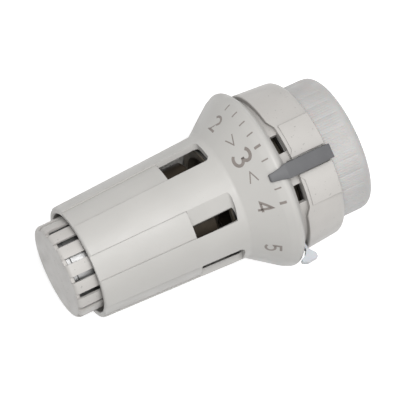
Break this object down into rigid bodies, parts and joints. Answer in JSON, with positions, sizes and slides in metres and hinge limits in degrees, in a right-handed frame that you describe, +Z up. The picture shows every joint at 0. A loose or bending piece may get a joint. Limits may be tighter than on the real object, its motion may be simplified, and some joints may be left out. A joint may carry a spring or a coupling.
{
  "type": "thermostatic radiator valve head",
  "caption": "Thermostatic radiator valve head: numbered handle on a collar with pointer, ribbed sensor cap, union nut; the handle turn moves the sensor and its pin in and out.",
  "frame": {"origin": "centre of the union nut's mouth, on the head's axis", "axes": "+X along the axis out of the nut's mouth, towards the valve; +Z up through the setting pointer"},
  "size_m": [0.0855, 0.051, 0.0527],
  "materials": {
    "nut_plastic": "translucent white moulded plastic, fine axial ribs",
    "white_plastic": "warm white moulded plastic, fine satin texture",
    "dial_plastic": "warm white moulded plastic with grey printed scale",
    "clip_plastic": "cool white moulded plastic",
    "pointer_plastic": "dark grey moulded plastic",
    "natural_plastic": "natural white low-friction plastic",
    "frame_plastic": "dark glass-filled plastic",
    "capsule_aluminium": "drawn aluminium, satin",
    "spring_steel": "phosphated spring steel",
    "bright_steel": "turned stainless steel",
    "bellows_brass": "thin drawn brass"
  },
  "bodies": {
    "base": {"base_housing": "white_plastic", "valve_guide": "frame_plastic", "pointer": "pointer_plastic", "nut_retaining_ring": "spring_steel", "bearing_plate": "frame_plastic", "housing_snap_ring": "spring_steel"},
    "nut": {"union_nut": "nut_plastic"},
    "handle": {"handle_shell": "dial_plastic", "drive_sleeve": "natural_plastic", "handle_snap_ring": "spring_steel"},
    "sensor": {"sensor_carrier": "frame_plastic", "end_cap": "white_plastic", "sensor_can": "capsule_aluminium", "can_lid": "capsule_aluminium", "fill_stub": "capsule_aluminium", "bellows": "bellows_brass", "bellows_plate": "capsule_aluminium"},
    "rod": {"push_rod": "bright_steel", "bellows_end_plate": "bellows_brass", "spring_cup": "frame_plastic", "cup_circlip": "spring_steel", "safety_spring": "spring_steel"},
    "valve_pin": {"pressure_pin": "bright_steel"},
    "clip_a": {"limiter_clip_a": "clip_plastic"},
    "clip_b": {"limiter_clip_b": "clip_plastic"}
  },
  "joints": [
    {"name": "handle_turn", "type": "hinge", "parent": "base", "child": "handle", "pos_m": [0, 0, 0], "axis": [1, 0, 0], "range_deg": [-55.9, 176.3]},
    {"name": "sensor_advance", "type": "slide", "parent": "base", "child": "sensor", "axis": [1, 0, 0], "range_m": [-0.00124, 0.00392]},
    {"name": "bellows_stroke", "type": "slide", "parent": "sensor", "child": "rod", "axis": [1, 0, 0], "range_m": [-0.0015, 0.0015], "stiffness_N_per_m": 20000, "deforming": ["bellows"]},
    {"name": "pin_overtravel", "type": "slide", "parent": "rod", "child": "valve_pin", "axis": [1, 0, 0], "range_m": [-0.002, 0], "stiffness_N_per_m": 4000, "springref_m": 0.005, "deforming": ["safety_spring"]},
    {"name": "nut_spin", "type": "hinge", "parent": "base", "child": "nut", "pos_m": [0, 0, 0], "axis": [1, 0, 0], "continuous": true},
    {"name": "clip_a_pull", "type": "slide", "parent": "base", "child": "clip_a", "axis": [0, -0.9511, 0.309], "range_m": [0, 0.008]},
    {"name": "clip_b_pull", "type": "slide", "parent": "base", "child": "clip_b", "axis": [0, 0.2079, -0.9781], "range_m": [0, 0.008]}
  ],
  "couplings": [
    {"joint": "handle_turn", "follows": "sensor_advance", "rad_per_m": 785.4}
  ]
}
